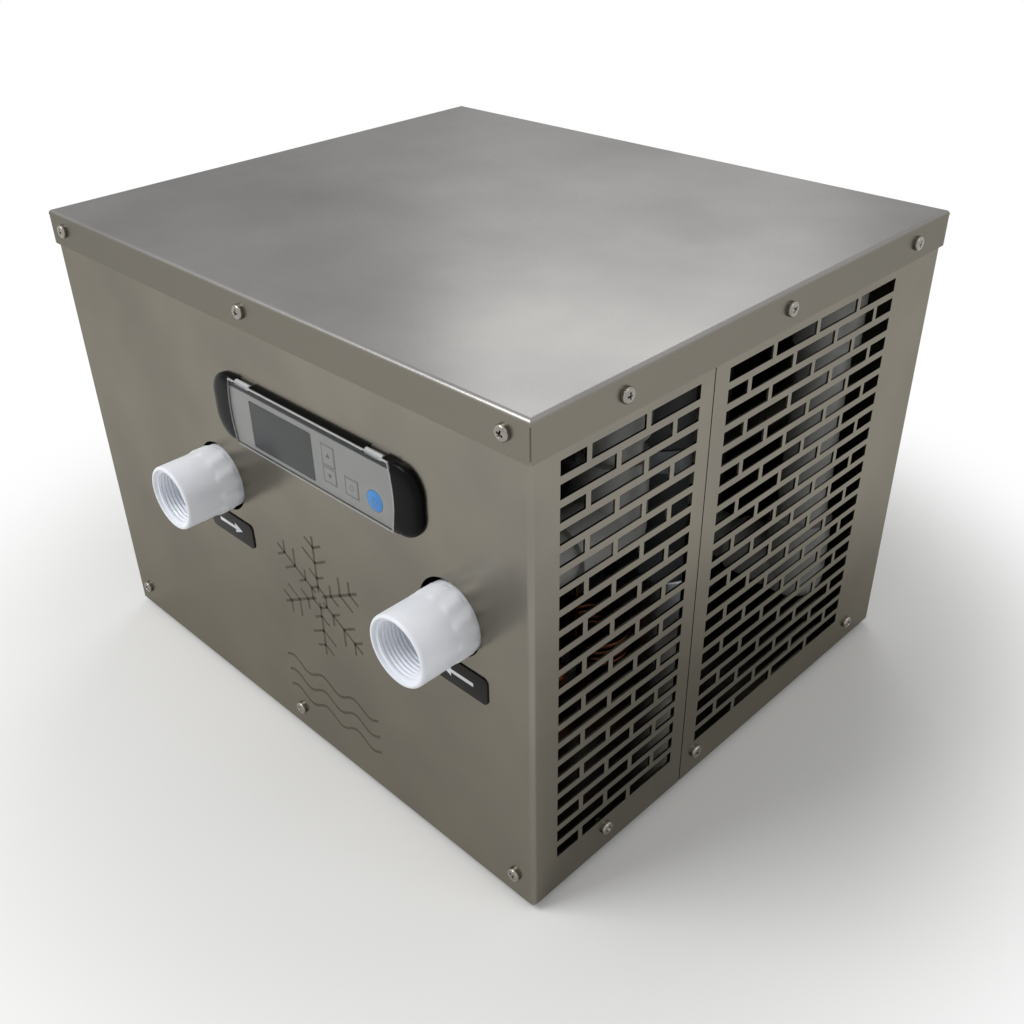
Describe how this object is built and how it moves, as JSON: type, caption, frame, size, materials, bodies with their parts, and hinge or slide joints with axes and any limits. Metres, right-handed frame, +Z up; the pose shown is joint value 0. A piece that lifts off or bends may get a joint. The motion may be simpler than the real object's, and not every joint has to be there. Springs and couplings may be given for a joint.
{
  "type": "water chiller",
  "caption": "Cabinet water chiller in a folded stainless case with slotted sides, a long panel controller with a clear flip cover, and white threaded inlet and outlet fittings.",
  "frame": {"origin": "middle of the bounding box, on the floor plane under the rubber feet", "axes": "+X to the right seen from the front, +Y from the front panel to the back, +Z up"},
  "size_m": [0.4352, 0.4268, 0.315],
  "materials": {
    "stainless": "brushed",
    "zinc_steel": "satin",
    "rubber": "matte",
    "white_pvc": "satin",
    "black_gloss": "gloss",
    "dark_plastic": "matte",
    "titanium": "satin",
    "grey_face": "satin",
    "circuit_board": "satin",
    "display": "gloss",
    "blue_key": "gloss",
    "clear_plastic": "clear",
    "black_paint": "satin",
    "aluminium": "satin",
    "copper": "satin",
    "cable_black": "matte",
    "ivory_plastic": "matte"
  },
  "bodies": {
    "case": {"base_pan": "stainless", "front_wrap": "stainless", "rear_wrap": "stainless", "top_cover": "stainless", "case_screws": "zinc_steel", "rubber_feet": "rubber", "inlet_fitting": "white_pvc", "outlet_fitting": "white_pvc", "inlet_pipes": "white_pvc", "inlet_elbow": "white_pvc", "outlet_pipes": "white_pvc", "outlet_elbows": "white_pvc", "inlet_label": "black_gloss", "outlet_label": "black_gloss", "barrel_shell": "white_pvc", "barrel_top_cap": "white_pvc", "barrel_bottom_cap": "white_pvc", "titanium_coil": "titanium", "barrel_strap": "zinc_steel", "controller_bezel": "black_gloss", "controller_housing": "dark_plastic", "controller_face": "grey_face", "controller_board": "circuit_board", "controller_clamps": "zinc_steel", "display_window": "display", "cover_hinge_pins": "zinc_steel", "compressor_can": "black_paint", "compressor_feet": "black_paint", "compressor_grommets": "rubber", "compressor_studs": "zinc_steel", "terminal_cover": "dark_plastic", "suction_accumulator": "black_paint", "condenser_fins": "aluminium", "condenser_tube": "copper", "condenser_plates": "zinc_steel", "fan_shroud": "zinc_steel", "fan_motor": "black_paint", "fan_bracket": "zinc_steel", "discharge_tube": "copper", "suction_tube": "copper", "liquid_tube": "copper", "filter_drier": "copper", "capillary_tube": "copper", "sensor_probe": "zinc_steel", "sensor_cable": "cable_black", "run_capacitor": "aluminium", "capacitor_clip": "zinc_steel", "terminal_block": "ivory_plastic", "gland_body": "dark_plastic", "gland_nut": "dark_plastic", "gland_lock_nut": "dark_plastic", "mains_cables": "cable_black"},
    "fan": {"fan_rotor": "dark_plastic", "fan_shaft": "zinc_steel"},
    "cover": {"clear_cover": "clear_plastic"},
    "key_up": {"up_key": "grey_face"},
    "key_down": {"down_key": "grey_face"},
    "key_set": {"set_key": "grey_face"},
    "key_power": {"power_key": "blue_key"}
  },
  "joints": [
    {"name": "fan_spin", "type": "hinge", "parent": "case", "child": "fan", "pos_m": [-0.1617, 0.00975, 0.152], "axis": [1, 0, 0], "continuous": true},
    {"name": "cover_flip", "type": "hinge", "parent": "case", "child": "cover", "pos_m": [0.051, -0.17795, 0.259], "axis": [-1, 0, 0], "range_deg": [0, 100]},
    {"name": "up_press", "type": "slide", "parent": "case", "child": "key_up", "axis": [0, 1, 0], "range_m": [0, 0.0003], "stiffness_N_per_m": 300},
    {"name": "down_press", "type": "slide", "parent": "case", "child": "key_down", "axis": [0, 1, 0], "range_m": [0, 0.0003], "stiffness_N_per_m": 300},
    {"name": "set_press", "type": "slide", "parent": "case", "child": "key_set", "axis": [0, 1, 0], "range_m": [0, 0.0003], "stiffness_N_per_m": 300},
    {"name": "power_press", "type": "slide", "parent": "case", "child": "key_power", "axis": [0, 1, 0], "range_m": [0, 0.0003], "stiffness_N_per_m": 300}
  ]
}
